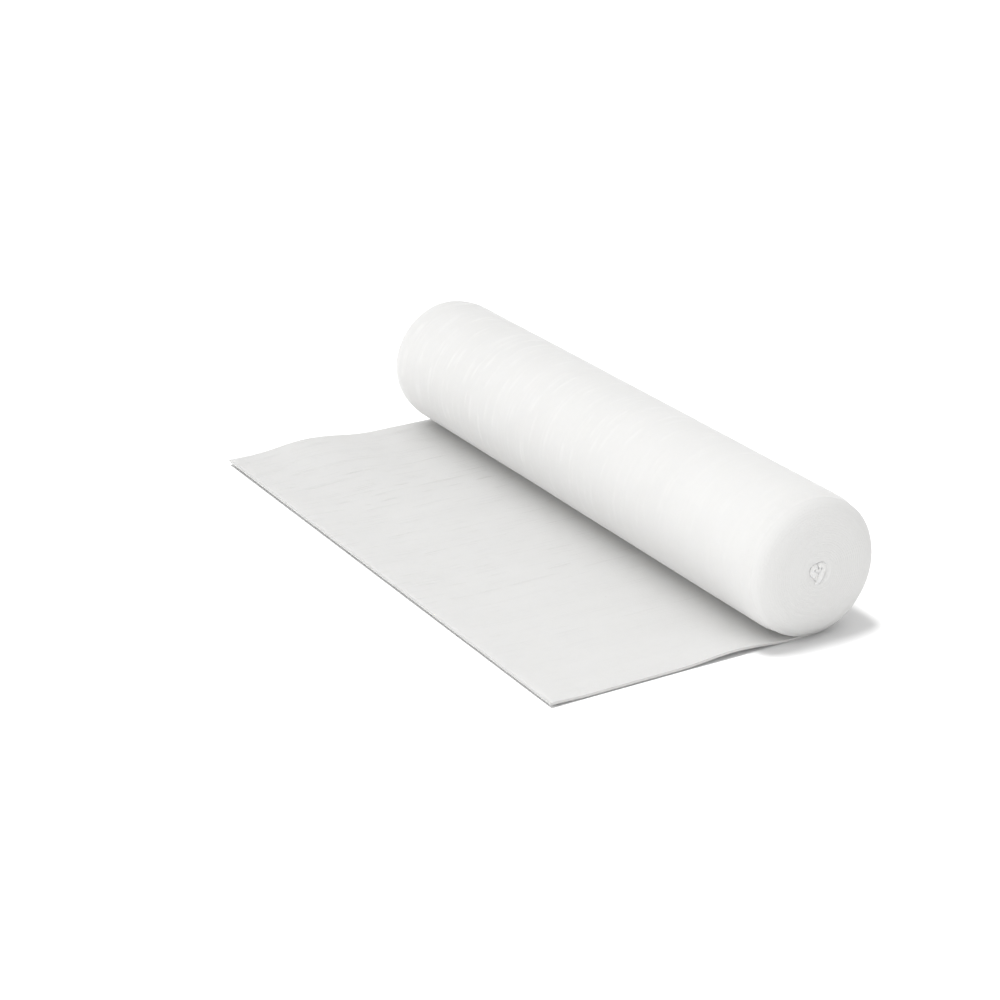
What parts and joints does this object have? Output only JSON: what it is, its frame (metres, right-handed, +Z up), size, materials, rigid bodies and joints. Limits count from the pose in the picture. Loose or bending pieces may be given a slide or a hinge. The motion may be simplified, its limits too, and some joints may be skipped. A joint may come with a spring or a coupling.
{
  "type": "foam wrap roll",
  "caption": "Coreless roll of white foam wrap lying on its side, with its free end laid out flat in front of it.",
  "frame": {"origin": "middle of the underside of the whole object's box, on the surface that it rests on", "axes": "+Z up; +Y along the roll, from the end with the domed turns to the other end; the free end of the sheet points to -X"},
  "size_m": [0.243, 0.5106, 0.099],
  "materials": {
    "white_foam": "soft matt closed-cell polyethylene foam, slightly translucent"
  },
  "bodies": {
    "root": {"foam_roll": "white_foam"}
  },
  "joints": []
}
